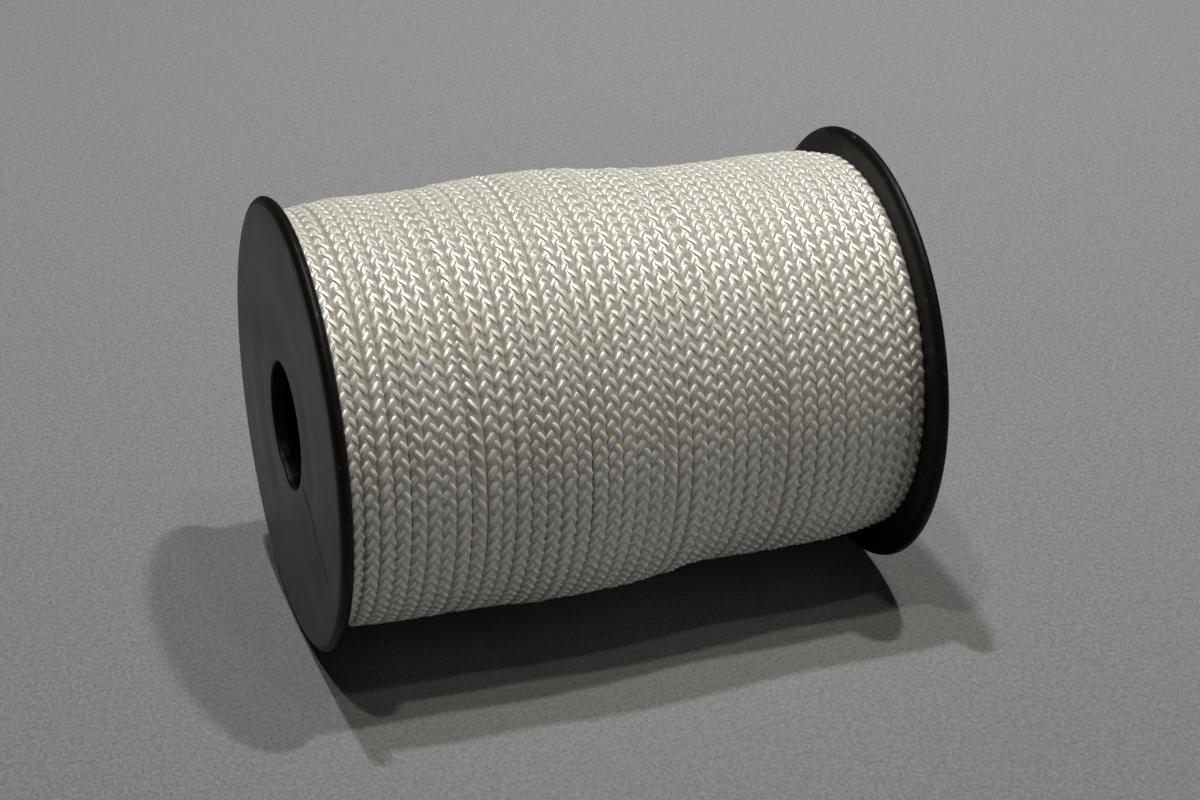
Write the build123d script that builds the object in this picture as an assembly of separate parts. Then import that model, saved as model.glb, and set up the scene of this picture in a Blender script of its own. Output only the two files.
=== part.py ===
"""A reel of braided cord: two moulded flanges on a barrel, and the cord wound on it.

Millimetres. The reel's axis is X, and the reel lies on its two rims, so +Z is up.
The origin is the centre of the bore, halfway between the flanges.
"""
from build123d import *
import os

# ---- driving dimensions ----------------------------------------------------------------
FLANGE_DIAMETER = 78.0
FLANGE_THICKNESS = 2.4
WINDING_WIDTH = 101.0
BORE_DIAMETER = 22.0
BARREL_DIAMETER = 37.0          # holds about 52 m of 2.5 mm cord in seven layers and part of an eighth
BARREL_WALL = 2.5

# ---- flange details --------------------------------------------------------------------
RIM_ROLL_OUTER = 2.4            # how far the outer face's roll to the rim reaches inwards
RIM_ROLL_INNER = 1.6            # the same on the cord's side
HUB_RING_RADIUS = 14.4          # flat ring round the bore
HUB_RING_DROP = 0.1             # how far that ring lies under the outer face
HOLLOW_RADIUS = 17.6            # deepest circle of the shallow hollow outside the ring
HOLLOW_DEPTH = 0.24
HOLLOW_END_RADIUS = 24.5        # where the hollow has risen to the face again
BORE_CHAMFER = 0.4
COLLAR_LENGTH = 10.0            # the collar on the cord's side, which plugs into the barrel
COLLAR_WALL = 2.0
COLLAR_LEAD_IN = 0.5
WELD_LINE_WIDTH = 0.5           # the straight weld line on one side of the bore
WELD_LINE_DEPTH = 0.15
WELD_LINE_START = 13.0
WELD_LINE_END = 33.5
WELD_LINE_ANGLE = -29.0         # from the horizontal, on the right flange's outer face

# ---- the winding's outer shape: places along X and the radius there --------------------
WINDING_OUTLINE = (
    (-49.2, 35.9),
    (-40.0, 36.6),
    (-24.0, 36.6),
    (-6.0, 37.3),               # the fullest place
    (1.0, 36.9),
    (8.2, 36.0),                # the last layer ends here
    (16.0, 35.1),
    (38.0, 35.1),
    (49.2, 33.8),
)
WINDING_EDGE_ROUNDING = 1.3     # how far the first and last turns round off towards the flanges

# ---- worked out from those -------------------------------------------------------------
FLANGE_RADIUS = FLANGE_DIAMETER / 2
BORE_RADIUS = BORE_DIAMETER / 2
BARREL_RADIUS = BARREL_DIAMETER / 2
COLLAR_RADIUS = BARREL_RADIUS - BARREL_WALL
COLLAR_INSIDE = COLLAR_RADIUS - COLLAR_WALL
HALF_WIDTH = WINDING_WIDTH / 2
OUTER_FACE = HALF_WIDTH + FLANGE_THICKNESS
RIM_MIDDLE = HALF_WIDTH + FLANGE_THICKNESS / 2
RING_FACE = OUTER_FACE - HUB_RING_DROP
HOLLOW_FACE = OUTER_FACE - HOLLOW_DEPTH
COLLAR_END = HALF_WIDTH - COLLAR_LENGTH

# A smooth curve that starts and ends square to the axis.
OUTWARDS = ((0, 1), (0, 1))


def revolved(outline):
    """A solid turned about X from a closed outline in the XY plane, where Y is the radius."""
    return revolve(make_face(outline), axis=Axis.X)


def flange_disc():
    """The right flange with its collar, before the weld line."""
    with BuildLine() as outline:
        Polyline(
            (HALF_WIDTH, FLANGE_RADIUS - RIM_ROLL_INNER),
            (HALF_WIDTH, COLLAR_RADIUS),
            (COLLAR_END + COLLAR_LEAD_IN, COLLAR_RADIUS),
            (COLLAR_END, COLLAR_RADIUS - COLLAR_LEAD_IN),
            (COLLAR_END, COLLAR_INSIDE),
            (HALF_WIDTH, COLLAR_INSIDE),
            (HALF_WIDTH, BORE_RADIUS),
            (RING_FACE - BORE_CHAMFER, BORE_RADIUS),
            (RING_FACE, BORE_RADIUS + BORE_CHAMFER),
            (RING_FACE, HUB_RING_RADIUS),
        )
        Spline((RING_FACE, HUB_RING_RADIUS), (HOLLOW_FACE, HOLLOW_RADIUS), tangents=OUTWARDS)
        Spline((HOLLOW_FACE, HOLLOW_RADIUS), (OUTER_FACE, HOLLOW_END_RADIUS), tangents=OUTWARDS)
        Line((OUTER_FACE, HOLLOW_END_RADIUS), (OUTER_FACE, FLANGE_RADIUS - RIM_ROLL_OUTER))
        EllipticalCenterArc(
            (RIM_MIDDLE, FLANGE_RADIUS - RIM_ROLL_OUTER),
            FLANGE_THICKNESS / 2,
            RIM_ROLL_OUTER,
            start_angle=0,
            arc_size=90,
        )
        EllipticalCenterArc(
            (RIM_MIDDLE, FLANGE_RADIUS - RIM_ROLL_INNER),
            FLANGE_THICKNESS / 2,
            RIM_ROLL_INNER,
            start_angle=90,
            arc_size=90,
        )
    return revolved(outline.line)


def right_flange():
    """One flange, with a narrow straight groove that follows its outer face outwards."""
    disc = flange_disc()
    length = WELD_LINE_END - WELD_LINE_START
    strip = Box(2 * FLANGE_THICKNESS, length, WELD_LINE_WIDTH)
    strip = strip.moved(Location((OUTER_FACE, WELD_LINE_START + length / 2, 0)))
    strip = strip.rotate(Axis.X, WELD_LINE_ANGLE)
    lowered = disc.moved(Location((-WELD_LINE_DEPTH, 0, 0)))
    groove = (disc & strip) - lowered
    return disc - groove


def left_flange():
    """The same moulding turned round, half a turn about Z."""
    return right_flange().rotate(Axis.Z, 180)


def barrel():
    """The tube between the flanges, with the flanges' collars inside its ends."""
    outside = Cylinder(BARREL_RADIUS, WINDING_WIDTH)
    inside = Cylinder(COLLAR_RADIUS, WINDING_WIDTH)
    return (outside - inside).rotate(Axis.Y, 90)


def wound_cord():
    """The outer shape of the whole winding, round the barrel and against both flanges."""
    left, right = WINDING_OUTLINE[0], WINDING_OUTLINE[-1]
    with BuildLine() as outline:
        Polyline(
            right,
            (HALF_WIDTH, right[1] - WINDING_EDGE_ROUNDING),
            (HALF_WIDTH, BARREL_RADIUS),
            (-HALF_WIDTH, BARREL_RADIUS),
            (-HALF_WIDTH, left[1] - WINDING_EDGE_ROUNDING),
            left,
        )
        Spline(*WINDING_OUTLINE)
    return revolved(outline.line)


PIECES = {
    "left_flange": left_flange,
    "right_flange": right_flange,
    "barrel": barrel,
    "wound_cord": wound_cord,
}

os.makedirs("parts", exist_ok=True)
for name, make in PIECES.items():
    solid = make()
    export_step(solid, f"parts/{name}.step")
    print(f"{name}: {solid.volume / 1000:.2f} cm3")
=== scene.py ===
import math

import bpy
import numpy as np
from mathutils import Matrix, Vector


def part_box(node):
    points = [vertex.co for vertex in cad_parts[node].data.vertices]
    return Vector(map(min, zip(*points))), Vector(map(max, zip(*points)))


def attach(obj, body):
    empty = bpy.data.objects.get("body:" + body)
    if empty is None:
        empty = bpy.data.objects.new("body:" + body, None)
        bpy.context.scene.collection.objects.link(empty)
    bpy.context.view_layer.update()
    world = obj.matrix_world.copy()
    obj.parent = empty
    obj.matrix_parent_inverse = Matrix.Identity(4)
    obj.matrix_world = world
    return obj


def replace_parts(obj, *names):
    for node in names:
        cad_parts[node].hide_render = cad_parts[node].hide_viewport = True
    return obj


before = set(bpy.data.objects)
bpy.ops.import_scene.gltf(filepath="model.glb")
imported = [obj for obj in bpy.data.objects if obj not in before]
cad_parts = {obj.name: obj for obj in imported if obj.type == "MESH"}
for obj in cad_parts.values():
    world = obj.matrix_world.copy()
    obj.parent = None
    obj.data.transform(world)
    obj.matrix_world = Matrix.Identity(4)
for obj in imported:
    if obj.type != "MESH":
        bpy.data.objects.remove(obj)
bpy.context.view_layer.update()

# A reel of white braided cord between two black moulded flanges. The reel's axis is X, +Z is
# up, and the origin is the middle of the bore, as in the CAD. Sizes here are in millimetres
# up to where a mesh, a lamp or the camera is made from them.

MM = 0.001
TURN = 2 * math.pi

# ---- the view --------------------------------------------------------------------------
CAMERA_AT = (-135.4, -406.9, 207.4)
CAMERA_AIM = (3.5, 0.0, -4.1)
LENS = 81.6

# ---- the cord --------------------------------------------------------------------------
CORD_DIAMETER = 2.5
BREADTH = 1.16                  # the cord is squeezed wider where it lies on the reel
HEIGHT = 0.95
SQUARENESS = 3.5                # 2 is a round or oval cord, and more has fuller corners
STRANDS_EACH_WAY = 4            # four strands turn one way round the cord and four the other
STRAND_LEAD = 10.8              # the length of cord in which a strand goes once round it
STRAND_WIDTH = 0.95
STRAND_THICKNESS = 0.85
STRAND_OVER = 0.86              # a strand's distance from the cord's middle where it lies outside
STRAND_UNDER = 0.05             # and where it passes under two others
STRAND_SIDES = 12
STRAND_PEAK = 1.2               # 1 is a round section, and more has a narrower back
STRAND_STEP = 0.5
STRAND_SHOWS = 118              # strands further round than this, in degrees, face the layer below
CORE_HEIGHT = 0.95              # half the height and half the breadth of the core inside the braid,
CORE_BREADTH = 1.25             # which neighbouring turns press flat against each other
CORE_STEP = 1.5
TUBE_SIDES = 8                  # the core, and the plain tube that stands for the hidden layers
TUBE_RADIUS = 1.15
TUBE_STEP = 6.0
BRAID_ROLL = 22.5               # how the braid sits on the reel, in degrees
BRAID_ROLL_DRIFT = 14
BESIDE = 1000                   # how far apart the strands lie on the strand map, in its millimetres

# The winding unrolled on a second map, for textures baked from the materials. The faces that
# show have the upper part of the map, and the others share a strip at the bottom.
MAP_SHOWN = (0.1, 0.89)         # where a part starts and how high it is
MAP_HIDDEN = (0.01, 0.07)
MAP_MARGIN = 0.004
MAP_WIDTH = 1.01
MAP_WAVE = -0.3                 # a strand counts as shown while its wave is above this, up to a
MAP_SIDE = -0.55                # quarter turn from the outside, and this far down its section

YARN_ENDS = 7                   # ridges round a strand
YARN_RELIEF = 0.02
FILAMENT_RELIEF = 0.012
FILAMENT_STRETCH = (0.35, 34, 1)
YARN_BUMP = 0.8
YARN_ROUGHNESS = 0.36
YARN_IOR = 2.0
YARN_ANISOTROPY = 0.9           # draws the gloss out along the strand
PATCH_SCALE = 60.0              # slow unevenness in the yarn's colour
PATCH_STRENGTH = 0.16
SIDE_SHADE_STARTS = 0.24              # where painted shade, standing for the crease under the neighbouring strands, begins and ends to darken the yarn's colour, from the strand's outside (0) towards its inside (0.5)
SIDE_SHADE_ENDS = 0.42                # strand's outside (0) towards its inside (0.5)
CORD_COLOUR = (0.63, 0.615, 0.55, 1)
# The second colour is painted shade for the strands' sides, not a dye.
CORD_COLOUR_SHADED = (0.48, 0.435, 0.335, 1)

# ---- the winding -----------------------------------------------------------------------
HALF_WIDTH = 50.5               # from the middle to each flange's inner face
BARREL_RADIUS = 18.5
PITCH = 2.55                    # from one turn to the next along the reel
LAYERS = 8                      # the last one covers only the left part
LAST_TURN = 8.2                 # where the last layer ends, along X
STEP_DOWN = (0.3, 2.3)          # right of that, where the winding loses one layer
CLIMB_SHOWS = 0.7               # a climb to the next layer shows once this much of it is left
CROSSING = 0.28                 # the share of each turn in which it moves over by one pitch
CROSSING_ANGLE = 20             # where that is, in degrees from +Y towards +Z, so at the back
TUCK = 0.14                     # the share of a turn in which the free end goes under its neighbours
TUCK_ACROSS = 4.6
TUCK_DEPTH = 1.5
OVER_TUCK = 0.9                 # how far the turns over the tucked end rise
UNDER_TUCK = -0.7               # and how far those under it sink
TUCK_REACH = 3.2                # how far along X that is felt
TUCK_REACH_ROUND = 0.3          # and how far round the reel, in radians
TUCK_PLACE = 3                  # how far left of the last layer's end it is felt most
CALM_EDGE = 6                   # the turns lie still at the flanges and are uneven this far in
POINTS_PER_TURN = 24
READ_PER_POINT = 8              # points read from the spline between two of its control points
# The radius over the outside of the winding at some places along X.
OUTLINE = ((-49.5, 35.8), (-45.0, 36.2), (-40.0, 36.6), (-24.0, 36.6), (-14.0, 37.3),
           (-6.0, 37.3), (1.0, 36.9), (8.2, 36.0), (10.5, 35.5), (16.0, 35.1),
           (38.0, 35.1), (44.0, 34.8), (49.5, 33.8))
OFF_CENTRE = 0.65               # how far the winding's middle is off the bore's
OFF_CENTRE_ANGLE = 64           # and which way, in degrees from +Y towards +Z

# ---- the flanges -----------------------------------------------------------------------
FLANGE_RADIUS = 39.0
FLANGE_THICKNESS = 2.4
RIM_ROLL_OUTER = 2.4            # how far the outer face's roll to the rim reaches inwards
RIM_ROLL_INNER = 1.6            # the same on the cord's side
FACE_ENDS = 2.15                # how far from the cord's side the face's finish ends, on the rim
BORE_RADIUS = 11.0
BORE_EDGE = 0.4                 # how far the face rounds over into the bore
BORE_EDGE_INNER = 0.3           # and the cord's side of the disc
EDGE = 0.2                      # how far the rows of faces stop short of the other edges
COLLAR_RADIUS = 16.0            # the collar plugs into the barrel
COLLAR_WALL = 2.0
COLLAR_LENGTH = 10.0
COLLAR_LEAD_IN = 0.5
RING_RADIUS = 14.4              # the flat ring round the bore
RING_DROP = 0.1                 # how far it lies under the outer face
RING_BLEND = 0.9                # how softly it runs into the hollow
HOLLOW_RADIUS = 17.6            # the deepest circle of the hollow round that ring
HOLLOW_DEPTH = 0.24
HOLLOW_END_RADIUS = 24.5
WELD_ANGLE = 209                # on the left flange, in degrees from +Y towards +Z
WELD_DEPTH = 0.15
WELD_HALF_WIDTH = 0.34
WELD_START = 12.0
WELD_FADES = 30.5               # it gets shallower from here
WELD_END = 33.5                 # to here
FLOW_DEPTH = 0.07               # the soft flow line on the other side of the bore
FLOW_HALF_WIDTH = 0.7
FLOW_START = (12, 14)           # radii between which it begins, and between which it ends
FLOW_END = (35, 36.5)
WAVE_HEIGHT = 0.025             # of the faint waves in the face
WAVE_START = (13, 20)
STUB_ANGLE = 290                # a soft bulge into the bore, which may be what is left of the gate
STUB_HEIGHT = 0.7
STUB_FLAT = 0.05                # its flat middle and its ends, as angles from its own middle
STUB_ENDS = 0.32
LINE_HALF_ANGLE = 0.06          # columns of faces are close together this far each side of the lines
LINE_COLUMNS = 61
OTHER_COLUMNS = 142
FACE_RINGS = 74                 # rows of faces over the outer face, the bore and the cord's side
BORE_RINGS = 14
INNER_RINGS = 24
COLLAR_RINGS = 5
CHAMFER_RINGS = 5
CHAMFER_FROM = 0.3              # the angle, in radians, of the first of those rows
ROLL_STEP = 10                  # degrees between the rows round the rim

BLACK = (0.0068, 0.0064, 0.0058, 1)
GLOSS_TINT = (1.0, 0.98, 0.92, 1)
BLACK_RUBBED = (0.05, 0.047, 0.042, 1)
FACE_ROUGHNESS = 0.31
FACE_GLOSS = 0.6                # the shader's specular level
SIDE_ROUGHNESS = 0.36           # of the rim, the bore and the cord's side
SIDE_GLOSS = 0.15
PLASTIC_IOR = 1.5
CLOUD_SCALE = 70.0
CLOUD_ROUGHNESS = 0.2           # added where the moulding is most clouded
SPECK_SCALE = 900.0
SCUFF_STRETCH = (1500, 160, 900)
RUBBED_FROM = 0.36              # where the marks begin to show and where they are palest
RUBBED_TO = 0.46
GRAIN_SCALE = 1800.0
GRAIN_DEPTH = 0.012
GRAIN_BUMP = 0.5

# ---- the floor and the lamps -----------------------------------------------------------
FLOOR_SIZE = 6000
LAMP_HEIGHT = 1131              # over the bore's middle
LAMP_SIZE = 52
LAMP_SPREAD = 100               # the width of its cone, in degrees
LAMP_AIM = (230, 430, -39)      # where they point on the floor, behind the reel
# Each lamp's name, its place in X and Y, its power in watts and its colour.
LAMPS = (
    ("lamp_right", (292, -35), 2.4, (1.00, 0.96, 0.90)),
    ("lamp_left", (-252, -187), 1.15, (1.00, 0.93, 0.82)),
    ("lamp_front", (129, -386), 0.42, (1.00, 0.93, 0.85)),
    ("lamp_back", (-98, 199), 2.8, (0.93, 0.97, 1.04)),
)
FILL_AT = (1300, -950, 42)      # a wide and low light from the front right, with no highlight
FILL_SIZE = (1600, 120)
FILL_WATTS = 6.2
FILL_COLOUR = (0.92, 0.98, 1.07)
ROOM_LIGHT = 0.005
ROOM_COLOUR = (0.95, 0.97, 1.0, 1)
FLOOR_COLOUR_LOW = (0.152, 0.152, 0.154, 1)
FLOOR_COLOUR_HIGH = (0.298, 0.298, 0.298, 1)
FLOOR_ROUGHNESS = 0.6
FLOOR_GRAIN = (1700, 1150, 1150)
FLOOR_BUMP = 0.4
FLOOR_BUMP_DEPTH = 0.1


def smoothstep(low, high, value):
    """0 below low, 1 above high, and a smooth rise between."""
    share = np.clip((value - low) / (high - low), 0, 1)
    return share * share * (3 - 2 * share)


def unevenness(seed, count, strength, shortest, longest, most_round=3):
    """A smooth random field over the winding, from a place along X and an angle round the reel."""
    random = np.random.default_rng(seed)
    lengths = random.uniform(shortest, longest, count)
    rounds = random.integers(-most_round, most_round + 1, count)
    phases = random.uniform(0, TURN, count)
    share = strength * math.sqrt(2 / count)

    def field(x, angle):
        total = 0
        for length, times, phase in zip(lengths, rounds, phases):
            total = total + share * np.cos(TURN * x / length + times * angle + phase)
        return total

    return field


def drift(seed, count, strength, shortest, longest):
    """A smooth random drift along a length."""
    random = np.random.default_rng(seed)
    lengths = random.uniform(shortest, longest, count)
    phases = random.uniform(0, TURN, count)
    share = strength * math.sqrt(2 / count)

    def at(distance):
        total = 0
        for length, phase in zip(lengths, phases):
            total = total + share * np.sin(TURN * distance / length + phase)
        return total

    return at


# ---- camera ----------------------------------------------------------------------------
camera = bpy.data.objects.new("camera", bpy.data.cameras.new("camera"))
bpy.context.scene.collection.objects.link(camera)
bpy.context.scene.camera = camera
camera.location = Vector(CAMERA_AT) * MM
view_direction = Vector(CAMERA_AIM) - Vector(CAMERA_AT)
camera.rotation_euler = view_direction.to_track_quat("-Z", "Y").to_euler()
camera.data.lens = LENS
camera.data.clip_start = 0.01


# ---- the cord's route ------------------------------------------------------------------
shift_across = unevenness(seed=3, count=14, strength=0.07, shortest=8, longest=26)
lift_outwards = unevenness(seed=4, count=14, strength=0.07, shortest=7, longest=30)


def winding_course():
    """For each control point of the route: its layer, its place along X and its turns so far. The
    turns lie square to the axis, and the cord moves over or climbs in one crossing at the back."""
    edge = HALF_WIDTH - CORD_DIAMETER / 2
    turns_across = round(2 * edge / PITCH)
    pitch = 2 * edge / turns_across
    layers, places, turns = [], [], []
    turn_number = 0
    for layer in range(1, LAYERS + 1):
        way = 1 if layer % 2 == 0 else -1
        turns_here = round((LAST_TURN + edge) / pitch) if layer == LAYERS else turns_across
        for place in range(turns_here + 1):
            for n in range(POINTS_PER_TURN):
                turn = n / POINTS_PER_TURN
                crossed = smoothstep(0, CROSSING, turn)
                climbs = place == 0 and layer > 1
                layers.append(layer - 1 + crossed if climbs else layer)
                places.append(way * (pitch * (place + (0 if place == 0 else crossed - 1)) - edge))
                turns.append(turn_number + turn)
            turn_number += 1
    return np.array(layers), np.array(places), np.array(turns)


def layer_radius(layer, x, angle):
    """The radius of the cord's middle in a layer, from the barrel and the winding's outline."""
    first = BARREL_RADIUS + CORD_DIAMETER / 2
    places, radii = zip(*OUTLINE)
    outside = np.interp(x, places, radii)
    outside = outside + OFF_CENTRE * np.cos(angle - math.radians(OFF_CENTRE_ANGLE))
    outermost = outside - HEIGHT * CORD_DIAMETER / 2
    layers_here = LAYERS - smoothstep(LAST_TURN + STEP_DOWN[0], LAST_TURN + STEP_DOWN[1], x)
    return first + (outermost - first) * (layer - 1) / (layers_here - 1)


def winding_route():
    """The control points of the cord's centreline, from the barrel outwards to the free end."""
    layers, places, turns = winding_course()
    angles = TURN * turns + math.radians(CROSSING_ANGLE) - CROSSING * math.pi
    tucks = smoothstep(turns[-1] - TUCK, turns[-1], turns)
    from_end = np.remainder(angles - angles[-1] + TURN * TUCK / 3 + math.pi, TURN) - math.pi
    from_place = (places - LAST_TURN + TUCK_PLACE) / TUCK_REACH
    near_end = np.exp(-from_place ** 2 - (from_end / TUCK_REACH_ROUND) ** 2)
    radii = layer_radius(layers, places, angles) + lift_outwards(places, angles) * layers / LAYERS
    raised = np.where(layers >= LAYERS, OVER_TUCK, UNDER_TUCK) * near_end
    radii = radii + raised * (1 - tucks) - TUCK_DEPTH * tucks
    room = smoothstep(0, CALM_EDGE, HALF_WIDTH - CORD_DIAMETER / 2 - abs(places))
    places = places + shift_across(places, angles) * room - TUCK_ACROSS * tucks
    radii = radii / math.cos(math.pi / POINTS_PER_TURN)
    return np.stack([places, radii * np.cos(angles), radii * np.sin(angles)], axis=1), layers


def read_spline(points):
    """Points along the smooth NURBS line that has these control points."""
    curve = bpy.data.curves.new("cord_route", "CURVE")
    curve.dimensions = "3D"
    curve.resolution_u = READ_PER_POINT
    spline = curve.splines.new("NURBS")
    spline.points.add(len(points) - 1)
    spline.points.foreach_set("co", np.c_[points * MM, np.ones(len(points))].ravel())
    spline.order_u = 3
    spline.use_endpoint_u = True
    spline.resolution_u = READ_PER_POINT
    carrier = bpy.data.objects.new("cord_route", curve)
    mesh = bpy.data.meshes.new_from_object(carrier)
    line = np.empty(len(mesh.vertices) * 3)
    mesh.vertices.foreach_get("co", line)
    bpy.data.objects.remove(carrier)
    bpy.data.meshes.remove(mesh)
    return line.reshape(-1, 3) / MM


def unit(vectors):
    return vectors / np.linalg.norm(vectors, axis=-1, keepdims=True)


class Line:
    """The cord's centreline with its direction, the way outwards from the reel and the way across."""

    def __init__(self, points):
        self.points = points
        steps = np.linalg.norm(np.diff(points, axis=0), axis=1)
        self.distance = np.concatenate([[0], np.cumsum(steps)])
        self.along = unit(np.gradient(points, axis=0))
        outwards = points * (0, 1, 1)
        outwards = outwards - self.along * (outwards * self.along).sum(1)[:, None]
        self.outwards = unit(outwards)
        self.sideways = np.cross(self.along, self.outwards)

    def at(self, distance):
        """The same line at other distances."""
        def read(values):
            return np.stack([np.interp(distance, self.distance, values[:, k]) for k in range(3)], axis=1)
        found = Line.__new__(Line)
        found.points = read(self.points)
        found.distance = distance
        found.along = unit(read(self.along))
        found.outwards = unit(read(self.outwards))
        found.sideways = unit(read(self.sideways))
        return found


# ---- the cord's mesh -------------------------------------------------------------------
def winding_places(corners, outside):
    """Places of quads on a map of the winding unrolled: its angle across, X upwards. The quads that
    aren't on the outside share a strip below the map."""
    around = np.arctan2(corners[..., 2], corners[..., 1]) / TURN
    first = around[:, :1]
    around = np.remainder(first, 1) + np.remainder(around - first + 0.5, 1) - 0.5
    across = np.clip(corners[..., 0] / (2 * HALF_WIDTH) + 0.5, 0, 1)
    shown, hidden = (start + height * across for start, height in (MAP_SHOWN, MAP_HIDDEN))
    up = np.where(outside[:, None], shown, hidden)
    return np.stack([(around + MAP_MARGIN) / MAP_WIDTH, up], axis=-1)


class MeshParts:
    """Vertices, faces and per-corner texture places, collected from many tubes."""

    def __init__(self):
        self.points, self.quads, self.strand_places, self.map_places = [], [], [], []
        self.count = 0

    def add_tube(self, rings, along, keep=None, outside=None):
        """Joins rings of points into a tube. Only rings marked in keep are used, and outside marks
        the points that are on the winding's outside."""
        total, sides = rings.shape[:2]
        keep = np.ones(total, bool) if keep is None else keep
        outside = np.zeros((total, sides), bool) if outside is None else outside
        number = np.cumsum(keep) - 1
        first = np.flatnonzero(keep[:-1] & keep[1:])
        corner = np.arange(sides)
        beside = (corner + 1) % sides
        start = self.count + number[first][:, None] * sides
        after = self.count + number[first + 1][:, None] * sides
        quads = np.stack([start + corner, start + beside, after + beside, after + corner], axis=-1)
        self.quads.append(quads.reshape(-1, 4))
        ring_of = first[:, None, None] + np.array([0, 0, 1, 1])
        side_of = np.stack([corner, beside, beside, corner], axis=-1)[None]
        corners = rings[ring_of, side_of].reshape(-1, 4, 3)
        shown = outside[ring_of, side_of].all(-1).ravel()
        self.map_places.append(winding_places(corners, shown).reshape(-1, 2))
        low, high = along[first][:, None], along[first + 1][:, None]
        left, right = corner / sides, (corner + 1) / sides
        places = np.stack([
            np.stack(np.broadcast_arrays(low, left), axis=-1),
            np.stack(np.broadcast_arrays(low, right), axis=-1),
            np.stack(np.broadcast_arrays(high, right), axis=-1),
            np.stack(np.broadcast_arrays(high, left), axis=-1),
        ], axis=2)
        self.strand_places.append(places.reshape(-1, 2))
        self.points.append(rings[keep].reshape(-1, 3))
        self.count += int(keep.sum()) * sides

    def make(self, name):
        points = np.concatenate(self.points) * MM
        quads = np.concatenate(self.quads)
        mesh = bpy.data.meshes.new(name)
        mesh.vertices.add(len(points))
        mesh.vertices.foreach_set("co", points.ravel())
        mesh.loops.add(quads.size)
        mesh.loops.foreach_set("vertex_index", quads.ravel().astype(np.int32))
        mesh.polygons.add(len(quads))
        mesh.polygons.foreach_set("loop_start", np.arange(0, quads.size, 4, dtype=np.int32))
        mesh.update(calc_edges=True)
        mesh.polygons.foreach_set("use_smooth", np.ones(len(quads), bool))
        for layer_name, places in (("strand", self.strand_places), ("OFBake", self.map_places)):
            layer = mesh.uv_layers.new(name=layer_name)
            layer.data.foreach_set("uv", np.concatenate(places).ravel())
        piece = bpy.data.objects.new(name, mesh)
        bpy.context.scene.collection.objects.link(piece)
        return piece


roll_drift = drift(seed=5, count=10, strength=math.radians(BRAID_ROLL_DRIFT), shortest=60, longest=900)


def squeezed(rings, line):
    """The rings round the line, pressed from a round cord's shape to that of a cord on the reel."""
    up, across = line.outwards[:, None], line.sideways[:, None]
    high = (rings * up).sum(2, keepdims=True)
    wide = (rings * across).sum(2, keepdims=True)
    size = np.hypot(high, wide) + 1e-9
    corner = (abs(high / size) ** SQUARENESS + abs(wide / size) ** SQUARENESS) ** (-1 / SQUARENESS)
    return rings + up * high * (HEIGHT * corner - 1) + across * wide * (BREADTH * corner - 1)


def add_strand(parts, line, number, way):
    """One of the braid's strands, which goes over two and under two that turn the other way."""
    middle, swing = (STRAND_OVER + STRAND_UNDER) / 2, (STRAND_OVER - STRAND_UNDER) / 2
    roll = math.radians(BRAID_ROLL) + roll_drift(line.distance)
    angle = roll + TURN * number / STRANDS_EACH_WAY + way * TURN * line.distance / STRAND_LEAD
    wave = way * np.cos(2 * (angle - roll - TURN / 16))
    reach = middle + swing * wave
    out = np.cos(angle)[:, None] * line.outwards + np.sin(angle)[:, None] * line.sideways
    round_about = np.cos(angle)[:, None] * line.sideways - np.sin(angle)[:, None] * line.outwards
    centres = out * reach[:, None]
    climb = np.gradient(reach, line.distance)
    turning = (way * TURN / STRAND_LEAD * reach)[:, None]
    forwards = unit(line.along + round_about * turning + out * climb[:, None])
    broad = unit(np.cross(forwards, out))
    thick = np.cross(broad, forwards)
    side = TURN * np.arange(STRAND_SIDES) / STRAND_SIDES - TURN / 4
    breadth = STRAND_WIDTH / 2 * np.cos(side)
    height = STRAND_THICKNESS / 2 * np.sign(np.sin(side)) * abs(np.sin(side)) ** STRAND_PEAK
    rings = centres[:, None] + broad[:, None] * breadth[None, :, None]
    rings = rings + thick[:, None] * height[None, :, None]
    rings = squeezed(rings, line) + line.points[:, None]
    away = abs(np.remainder(angle + math.pi, TURN) - math.pi)
    own_place = BESIDE * (number + STRANDS_EACH_WAY * (way > 0))
    outside = ((wave > MAP_WAVE) & (away < TURN / 4))[:, None] & (np.sin(side) > MAP_SIDE)
    parts.add_tube(rings, line.distance + own_place, away < math.radians(STRAND_SHOWS), outside)


def add_plain_tube(parts, line, high, wide):
    """A tube of an oval section, for the core inside the braid and for the hidden layers."""
    side = TURN * np.arange(TUBE_SIDES) / TUBE_SIDES
    up = high * np.cos(side)[:, None] * line.outwards[:, None]
    across = wide * np.sin(side)[:, None] * line.sideways[:, None]
    parts.add_tube(line.points[:, None] + squeezed(up + across, line), line.distance)


route, route_layers = winding_route()
cord_line = Line(read_spline(route))
layer_at = np.interp(np.linspace(0, 1, len(cord_line.points)), np.linspace(0, 1, len(route)), route_layers)

# The braid shows in the last layer and, right of that layer's end, in the one under it.
place_at = cord_line.points[:, 0]
shows = (layer_at >= LAYERS - 1) & (place_at > LAST_TURN - 2 * PITCH)
shows |= layer_at > LAYERS - CLIMB_SHOWS
shows |= (layer_at > LAYERS - 1 - CLIMB_SHOWS) & (layer_at <= LAYERS - 1)
edges = np.flatnonzero(np.diff(shows.astype(int)))
starts = np.concatenate([[0], edges + 1])
ends = np.concatenate([edges + 1, [len(shows) - 1]])

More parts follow.
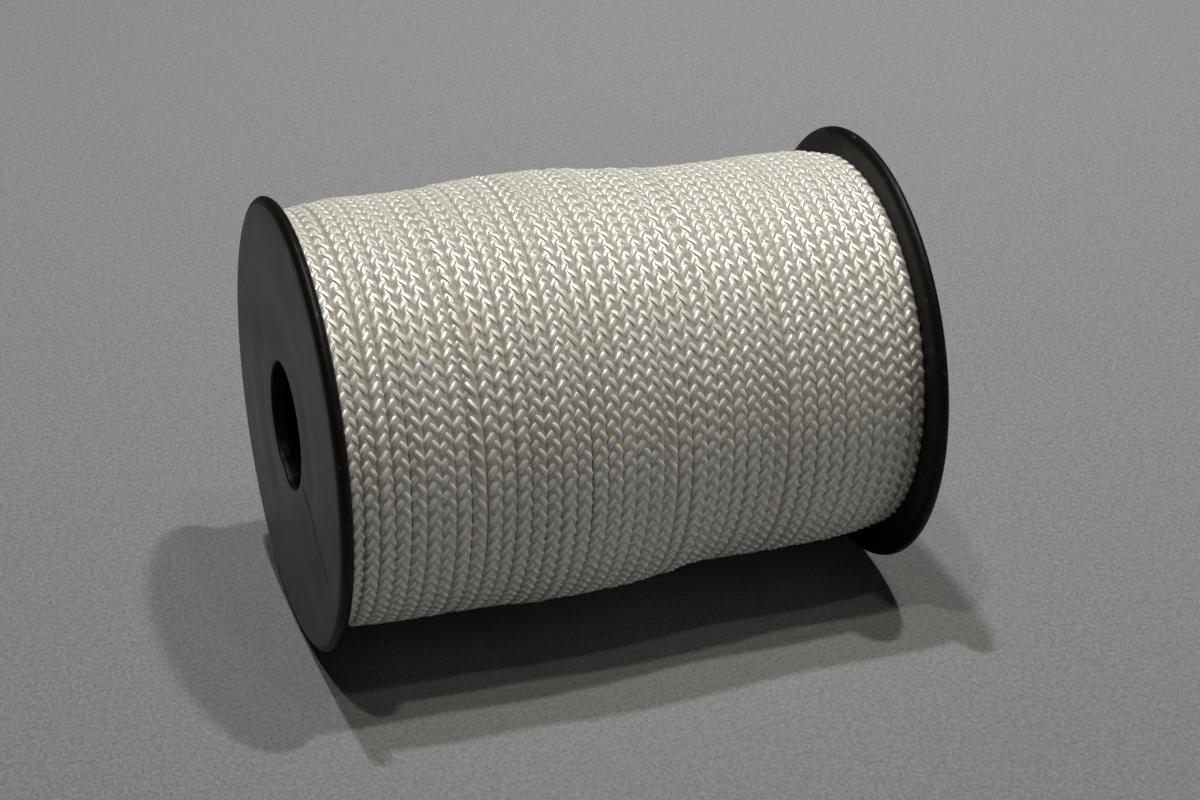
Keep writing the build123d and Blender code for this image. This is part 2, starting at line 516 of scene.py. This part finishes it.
cord_parts = MeshParts()
for start, end in zip(starts, ends):
    low, high = cord_line.distance[start], cord_line.distance[end]
    if shows[start]:
        fine = cord_line.at(np.linspace(low, high, math.ceil((high - low) / STRAND_STEP)))
        for number in range(STRANDS_EACH_WAY):
            add_strand(cord_parts, fine, number, 1)
            add_strand(cord_parts, fine, number, -1)
        middle = cord_line.at(np.linspace(low, high, math.ceil((high - low) / CORE_STEP)))
        add_plain_tube(cord_parts, middle, CORE_HEIGHT, CORE_BREADTH)
    else:
        coarse = cord_line.at(np.linspace(low, high, math.ceil((high - low) / TUBE_STEP)))
        add_plain_tube(cord_parts, coarse, TUBE_RADIUS, TUBE_RADIUS)
cord = cord_parts.make("braided_cord")
print(f"braid: {len(cord.data.vertices)} points, {len(cord.data.polygons)} faces")


# ---- materials -------------------------------------------------------------------------
def new_material(name):
    material = bpy.data.materials.new(name)
    material.use_nodes = True
    nodes, links = material.node_tree.nodes, material.node_tree.links
    return material, nodes, links, nodes["Principled BSDF"]


def add(nodes, kind, inputs=None, **settings):
    """A node with its settings and its plain input values."""
    node = nodes.new(kind)
    for name, value in settings.items():
        setattr(node, name, value)
    for name, value in (inputs or {}).items():
        node.inputs[name].default_value = value
    return node


def colour_from(nodes, links, value, shader, low, high):
    """Colours the shader by a value from a socket: low and high are each a value and its colour."""
    ramp = add(nodes, "ShaderNodeValToRGB")
    for element, (position, colour) in zip(ramp.color_ramp.elements, (low, high)):
        element.position = position
        element.color = colour
    links.new(value, ramp.inputs["Fac"])
    links.new(ramp.outputs["Color"], shader.inputs["Base Color"])


def cord_material():
    """Glossy ivory yarn. The strand map has the distance along a strand in millimetres and the
    share of the way round it, with the outside at one half."""
    material, nodes, links, shader = new_material("white_braid")
    shader.inputs["Roughness"].default_value = YARN_ROUGHNESS
    shader.inputs["IOR"].default_value = YARN_IOR
    shader.inputs["Specular IOR Level"].default_value = 1.0
    shader.inputs["Anisotropic"].default_value = YARN_ANISOTROPY
    along = add(nodes, "ShaderNodeTangent", direction_type="UV_MAP", uv_map="strand")
    links.new(along.outputs["Tangent"], shader.inputs["Tangent"])
    place = add(nodes, "ShaderNodeUVMap", uv_map="strand")
    split = add(nodes, "ShaderNodeSeparateXYZ")
    links.new(place.outputs["UV"], split.inputs[0])

    # Each strand is a few ends of yarn side by side, and each end is many filaments.
    ends = add(nodes, "ShaderNodeMath", {1: TURN * YARN_ENDS}, operation="MULTIPLY")
    links.new(split.outputs["Y"], ends.inputs[0])
    ridge = add(nodes, "ShaderNodeMath", operation="COSINE")
    links.new(ends.outputs[0], ridge.inputs[0])
    stretched = add(nodes, "ShaderNodeVectorMath", {1: FILAMENT_STRETCH}, operation="MULTIPLY")
    links.new(place.outputs["UV"], stretched.inputs[0])
    filaments = add(nodes, "ShaderNodeTexNoise", {"Scale": 1.0, "Detail": 2.0}, noise_dimensions="2D")
    links.new(stretched.outputs[0], filaments.inputs["Vector"])
    fine = add(nodes, "ShaderNodeMath", {1: FILAMENT_RELIEF}, operation="MULTIPLY")
    links.new(filaments.outputs["Fac"], fine.inputs[0])
    height = add(nodes, "ShaderNodeMath", {1: YARN_RELIEF}, operation="MULTIPLY_ADD")
    links.new(ridge.outputs[0], height.inputs[0])
    links.new(fine.outputs[0], height.inputs[2])
    bump = add(nodes, "ShaderNodeBump", {"Strength": YARN_BUMP, "Distance": 1 * MM})
    links.new(height.outputs[0], bump.inputs["Height"])
    links.new(bump.outputs["Normal"], shader.inputs["Normal"])

    # Painted shade: the yarn is warmer and darker down a strand's sides, where it passes into the crease
    # under its neighbours. Random patches also make it a little uneven from place to place, which is the
    # yarn's own tone.
    side = add(nodes, "ShaderNodeMath", {1: 0.5}, operation="SUBTRACT")
    links.new(split.outputs["Y"], side.inputs[0])
    # the distance round from a strand's outside, which sets the painted shade
    side_shade = add(nodes, "ShaderNodeMath", operation="ABSOLUTE")
    links.new(side.outputs[0], side_shade.inputs[0])
    where = add(nodes, "ShaderNodeTexCoord")
    patches = add(nodes, "ShaderNodeTexNoise", {"Scale": PATCH_SCALE, "Detail": 3.0})
    links.new(where.outputs["Object"], patches.inputs["Vector"])
    patches_and_shade = add(nodes, "ShaderNodeMath", {1: PATCH_STRENGTH}, operation="MULTIPLY_ADD")
    links.new(patches.outputs["Fac"], patches_and_shade.inputs[0])
    links.new(side_shade.outputs[0], patches_and_shade.inputs[2])
    colour_from(nodes, links, patches_and_shade.outputs[0], shader,
                (SIDE_SHADE_STARTS, CORD_COLOUR), (SIDE_SHADE_ENDS, CORD_COLOUR_SHADED))
    return material


def black_material(name, roughness, gloss):
    """Black moulding: faintly grained and clouded, with a few pale rubbed specks."""
    material, nodes, links, shader = new_material(name)
    shader.inputs["IOR"].default_value = PLASTIC_IOR
    shader.inputs["Specular IOR Level"].default_value = gloss
    shader.inputs["Specular Tint"].default_value = GLOSS_TINT
    where = add(nodes, "ShaderNodeTexCoord")
    clouds = add(nodes, "ShaderNodeTexNoise", {"Scale": CLOUD_SCALE, "Detail": 4.0, "Roughness": 0.6})
    links.new(where.outputs["Object"], clouds.inputs["Vector"])
    most = roughness + CLOUD_ROUGHNESS
    rough = add(nodes, "ShaderNodeMapRange", {"To Min": roughness, "To Max": most})
    links.new(clouds.outputs["Fac"], rough.inputs["Value"])
    links.new(rough.outputs["Result"], shader.inputs["Roughness"])

    # Rubbed specks, and short scuffs where fingers and other reels have touched it.
    specks = add(nodes, "ShaderNodeTexNoise", {"Scale": SPECK_SCALE, "Detail": 2.0})
    links.new(where.outputs["Object"], specks.inputs["Vector"])
    drawn = add(nodes, "ShaderNodeVectorMath", {1: SCUFF_STRETCH}, operation="MULTIPLY")
    links.new(where.outputs["Object"], drawn.inputs[0])
    scuffs = add(nodes, "ShaderNodeTexNoise", {"Scale": 1.0, "Detail": 1.0})
    links.new(drawn.outputs[0], scuffs.inputs["Vector"])
    marks = add(nodes, "ShaderNodeMath", operation="MULTIPLY")
    links.new(specks.outputs["Fac"], marks.inputs[0])
    links.new(scuffs.outputs["Fac"], marks.inputs[1])
    colour_from(nodes, links, marks.outputs[0], shader,
                (RUBBED_FROM, BLACK), (RUBBED_TO, BLACK_RUBBED))

    grain = add(nodes, "ShaderNodeTexNoise", {"Scale": GRAIN_SCALE, "Detail": 3.0})
    links.new(where.outputs["Object"], grain.inputs["Vector"])
    bump = add(nodes, "ShaderNodeBump", {"Strength": GRAIN_BUMP, "Distance": GRAIN_DEPTH * MM})
    links.new(grain.outputs["Fac"], bump.inputs["Height"])
    links.new(bump.outputs["Normal"], shader.inputs["Normal"])
    return material


def floor_material():
    """A pale matt sheet with a fine grain."""
    material, nodes, links, shader = new_material("pale_floor")
    shader.inputs["Roughness"].default_value = FLOOR_ROUGHNESS
    where = add(nodes, "ShaderNodeTexCoord")
    drawn = add(nodes, "ShaderNodeVectorMath", {1: FLOOR_GRAIN}, operation="MULTIPLY")
    links.new(where.outputs["Object"], drawn.inputs[0])
    grain = add(nodes, "ShaderNodeTexNoise", {"Scale": 1.0, "Detail": 3.0, "Roughness": 0.6})
    links.new(drawn.outputs[0], grain.inputs["Vector"])
    colour_from(nodes, links, grain.outputs["Fac"], shader,
                (0.25, FLOOR_COLOUR_LOW), (0.75, FLOOR_COLOUR_HIGH))
    bump = add(nodes, "ShaderNodeBump", {"Strength": FLOOR_BUMP, "Distance": FLOOR_BUMP_DEPTH * MM})
    links.new(grain.outputs["Fac"], bump.inputs["Height"])
    links.new(bump.outputs["Normal"], shader.inputs["Normal"])
    return material


# ---- the flanges -----------------------------------------------------------------------
def flange_section():
    """The right flange's section as places along X, radii, and 1 on the outer face or 0 elsewhere.
    It runs from the rim down the cord's side, along the collar and back over the outer face."""
    face = HALF_WIDTH + FLANGE_THICKNESS
    middle = HALF_WIDTH + FLANGE_THICKNESS / 2
    end = HALF_WIDTH - COLLAR_LENGTH
    inside = COLLAR_RADIUS - COLLAR_WALL
    ring = face - RING_DROP
    section = []

    def row_along_x(low, high, count, radius):
        section.extend((x, radius, 0) for x in np.linspace(low, high, count))

    for radius in np.linspace(FLANGE_RADIUS - RIM_ROLL_INNER, COLLAR_RADIUS, INNER_RINGS):
        section.append((HALF_WIDTH, radius, 0))
    row_along_x(HALF_WIDTH - BORE_EDGE_INNER, end + COLLAR_LEAD_IN, COLLAR_RINGS, COLLAR_RADIUS)
    section.append((end, COLLAR_RADIUS - COLLAR_LEAD_IN, 0))
    section.append((end, inside + EDGE, 0))
    row_along_x(end + EDGE, HALF_WIDTH - EDGE, COLLAR_RINGS, inside)
    section.append((HALF_WIDTH, inside - EDGE, 0))
    section.append((HALF_WIDTH, BORE_RADIUS + BORE_EDGE_INNER, 0))
    row_along_x(HALF_WIDTH + BORE_EDGE_INNER, ring - BORE_EDGE, BORE_RINGS, BORE_RADIUS)
    for turned in np.linspace(CHAMFER_FROM, math.pi / 2, CHAMFER_RINGS):
        x = ring - BORE_EDGE * (1 - math.sin(turned))
        section.append((x, BORE_RADIUS + BORE_EDGE * (1 - math.cos(turned)), 0))
    first_ring = BORE_RADIUS + BORE_EDGE + EDGE
    for radius in np.linspace(first_ring, FLANGE_RADIUS - RIM_ROLL_OUTER, FACE_RINGS):
        into = smoothstep(RING_RADIUS - RING_BLEND, HOLLOW_RADIUS + RING_BLEND, radius)
        out_of = smoothstep(HOLLOW_RADIUS, HOLLOW_END_RADIUS, radius)
        drop = RING_DROP + (HOLLOW_DEPTH - RING_DROP) * into - HOLLOW_DEPTH * out_of
        section.append((face - drop, radius, 1))
    for roll, start, stop in ((RIM_ROLL_OUTER, 0, 91), (RIM_ROLL_INNER, 90, 180)):
        for turned in np.radians(np.arange(start + ROLL_STEP, stop, ROLL_STEP)):
            x = middle + FLANGE_THICKNESS / 2 * math.cos(turned)
            section.append((x, FLANGE_RADIUS - roll + roll * math.sin(turned), 0))
    return np.array(section)


def flange_columns():
    """The angles of the columns of faces round a flange, close together at the weld and flow lines."""
    near = np.linspace(-LINE_HALF_ANGLE, LINE_HALF_ANGLE, LINE_COLUMNS)
    between = np.linspace(LINE_HALF_ANGLE, math.pi - LINE_HALF_ANGLE, OTHER_COLUMNS)[1:-1]
    half_round = np.concatenate([near, between])
    return math.radians(WELD_ANGLE) + np.concatenate([half_round, half_round + math.pi])[None]


def face_relief(radius, columns):
    """How far the outer face stands out at each place: the weld line, the flow line and the waves."""
    from_line = columns - math.radians(WELD_ANGLE)
    across = radius * np.sin(from_line)
    on_weld = np.cos(from_line) > 0
    weld = np.exp(-(across / WELD_HALF_WIDTH) ** 2) * on_weld
    weld = weld * smoothstep(WELD_START, WELD_START + 1, radius)
    weld = weld * (1 - smoothstep(WELD_FADES, WELD_END, radius))
    flow = np.exp(-(across / FLOW_HALF_WIDTH) ** 2) * ~on_weld
    flow = flow * smoothstep(*FLOW_START, radius) * (1 - smoothstep(*FLOW_END, radius))
    waves = face_waves(radius, columns) * smoothstep(*WAVE_START, radius)
    return waves - WELD_DEPTH * weld - FLOW_DEPTH * flow


def add_flange(name, half_turns):
    """The left flange, or after one half turn about Z the right one. It has the moulding's marks:
    a crisp weld line, a soft flow line opposite, faint waves and a soft bulge into the bore."""
    section = flange_section()
    x, radius, on_face = section.T[:, :, None]
    columns = flange_columns()
    from_stub = np.remainder(columns - math.radians(STUB_ANGLE) + math.pi, TURN) - math.pi
    in_bore = (x > HALF_WIDTH) & (radius < BORE_RADIUS + 1)
    narrowed = STUB_HEIGHT * in_bore * (1 - smoothstep(STUB_FLAT, STUB_ENDS, abs(from_stub)))
    shown = radius - narrowed
    out = -(x + face_relief(radius, columns) * on_face)
    rounds = np.broadcast_arrays(out, shown * np.cos(columns), shown * np.sin(columns))
    points = np.stack(rounds, axis=-1)
    if half_turns:
        points = points * (-1, -1, 1)
    rows, around = points.shape[:2]
    row, column = np.meshgrid(np.arange(rows), np.arange(around), indexing="ij")
    next_row, next_column = (row + 1) % rows, (column + 1) % around
    quads = np.stack([row * around + column, next_row * around + column,
                      next_row * around + next_column, row * around + next_column], axis=-1)
    mesh = bpy.data.meshes.new(name)
    mesh.from_pydata((points.reshape(-1, 3) * MM).tolist(), [], quads.reshape(-1, 4).tolist())
    mesh.polygons.foreach_set("use_smooth", np.ones(len(mesh.polygons), bool))
    mesh.materials.append(black_face)
    mesh.materials.append(black_side)
    outside = (section[:, 0] > HALF_WIDTH + FACE_ENDS) & (section[:, 1] > BORE_RADIUS + BORE_EDGE / 2)
    on_side = np.repeat(~(outside & np.roll(outside, -1)), around)
    mesh.polygons.foreach_set("material_index", on_side.astype(np.int32))
    piece = bpy.data.objects.new(name, mesh)
    bpy.context.scene.collection.objects.link(piece)
    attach(piece, "root")
    return piece


cord.data.materials.append(cord_material())
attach(cord, "root")
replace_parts(cord, "wound_cord")

black_face = black_material("black_face", FACE_ROUGHNESS, FACE_GLOSS)
black_side = black_material("black_side", SIDE_ROUGHNESS, SIDE_GLOSS)
face_waves = unevenness(seed=11, count=9, strength=WAVE_HEIGHT, shortest=16, longest=60)
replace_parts(add_flange("moulded_left_flange", 0), "left_flange")
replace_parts(add_flange("moulded_right_flange", 1), "right_flange")
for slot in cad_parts["barrel"].material_slots:
    slot.material = black_side

# ---- the floor and the light -----------------------------------------------------------
floor_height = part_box("left_flange")[0][2]
half_floor = FLOOR_SIZE * MM / 2
floor_mesh = bpy.data.meshes.new("floor")
floor_mesh.from_pydata(
    [(x * half_floor, y * half_floor, floor_height) for x, y in ((-1, -1), (1, -1), (1, 1), (-1, 1))],
    [], [(0, 1, 2, 3)])
floor = bpy.data.objects.new("floor", floor_mesh)
bpy.context.scene.collection.objects.link(floor)
floor_mesh.materials.append(floor_material())


def add_lamp(name, place, aim, watts, colour, size, spread=180):
    """A flat lamp, a disc or a rectangle, that shines from place towards aim."""
    lamp = bpy.data.lights.new(name, "AREA")
    lamp.shape = "DISK" if size[0] == size[1] else "RECTANGLE"
    lamp.size, lamp.size_y = size[0] * MM, size[1] * MM
    lamp.energy = watts
    lamp.color = colour
    lamp.spread = math.radians(spread)
    holder = bpy.data.objects.new(name, lamp)
    holder.location = Vector(place) * MM
    holder.rotation_euler = (Vector(aim) - Vector(place)).to_track_quat("-Z", "Y").to_euler()
    bpy.context.scene.collection.objects.link(holder)
    return holder


for name, (x, y), watts, colour in LAMPS:
    add_lamp(name, (x, y, LAMP_HEIGHT), LAMP_AIM, watts, colour, (LAMP_SIZE, LAMP_SIZE), LAMP_SPREAD)
fill = add_lamp("fill", FILL_AT, (0, 0, 0), FILL_WATTS, FILL_COLOUR, FILL_SIZE)
fill.visible_glossy = False

world = bpy.data.worlds.new("room")
world.use_nodes = True
world.node_tree.nodes["Background"].inputs["Color"].default_value = ROOM_COLOUR
world.node_tree.nodes["Background"].inputs["Strength"].default_value = ROOM_LIGHT
bpy.context.scene.world = world
bpy.context.scene.view_settings.view_transform = "Standard"
